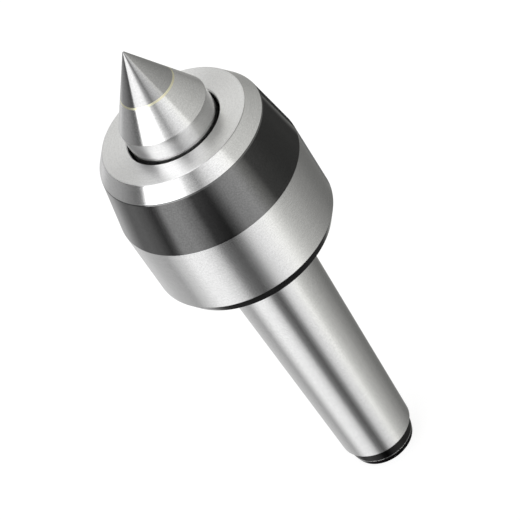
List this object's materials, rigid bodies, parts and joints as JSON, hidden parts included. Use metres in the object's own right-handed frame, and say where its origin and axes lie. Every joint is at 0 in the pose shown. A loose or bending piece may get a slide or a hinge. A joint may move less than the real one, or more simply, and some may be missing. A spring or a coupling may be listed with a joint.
{
  "type": "live center",
  "caption": "Rotating lathe center: a carbide-tipped 60 degree point turns on bearings in a round body with a Morse taper shank.",
  "frame": {"origin": "centre of the Morse taper's gauge plane, on the axis of rotation", "axes": "+Z along the axis of rotation, from the shank towards the tip of the point; +X and +Y are free, because the outside is a body of revolution"},
  "size_m": [0.063, 0.063, 0.1963],
  "materials": {
    "black_oxide_steel": "black oxide, with the rear band and the shank ground bright",
    "ground_steel": "fine ground",
    "rubber": "matte nitrile rubber",
    "pressed_steel": "pressed sheet",
    "spring_steel": "tempered",
    "bearing_steel": "ground and honed",
    "bearing_balls": "lapped mirror",
    "cage_resin": "moulded resin",
    "cage_brass": "turned",
    "black_oxide_nut": "black oxide",
    "braze_alloy": "ground flush",
    "carbide": "diamond ground"
  },
  "bodies": {
    "body": {"housing": "black_oxide_steel", "front_cap": "ground_steel", "cap_seal_ring": "rubber", "shaft_seal_case": "pressed_steel", "shaft_seal_lip": "rubber", "shaft_seal_spring": "spring_steel", "front_bearing_outer_ring": "bearing_steel", "preload_spring": "spring_steel", "thrust_housing_washer": "bearing_steel", "needle_cup": "bearing_steel"},
    "turning_spindle": {"spindle": "ground_steel", "braze_joint": "braze_alloy", "carbide_tip": "carbide", "front_bearing_inner_ring": "bearing_steel", "tab_washer": "pressed_steel", "lock_nut": "black_oxide_nut", "thrust_shaft_washer": "bearing_steel"},
    "front_ball_set": {"front_bearing_balls": "bearing_balls", "front_bearing_cage": "cage_resin"},
    "thrust_ball_set": {"thrust_balls": "bearing_balls", "thrust_cage": "cage_brass"},
    "needle_set": {"needle_rollers": "bearing_balls", "needle_cage": "cage_brass"}
  },
  "joints": [
    {"name": "spindle_spin", "type": "hinge", "parent": "body", "child": "turning_spindle", "pos_m": [0, 0, 0.043], "axis": [0, 0, 1], "continuous": true},
    {"name": "front_ball_set_orbit", "type": "hinge", "parent": "body", "child": "front_ball_set", "pos_m": [0, 0, 0.043], "axis": [0, 0, 1], "continuous": true},
    {"name": "thrust_ball_set_orbit", "type": "hinge", "parent": "body", "child": "thrust_ball_set", "pos_m": [0, 0, 0.023], "axis": [0, 0, 1], "continuous": true},
    {"name": "needle_set_orbit", "type": "hinge", "parent": "body", "child": "needle_set", "pos_m": [0, 0, -0.008], "axis": [0, 0, 1], "continuous": true}
  ],
  "couplings": [
    {"joint": "front_ball_set_orbit", "follows": "spindle_spin", "ratio": 0.4148},
    {"joint": "thrust_ball_set_orbit", "follows": "spindle_spin", "ratio": 0.5},
    {"joint": "needle_set_orbit", "follows": "spindle_spin", "ratio": 0.4412}
  ]
}
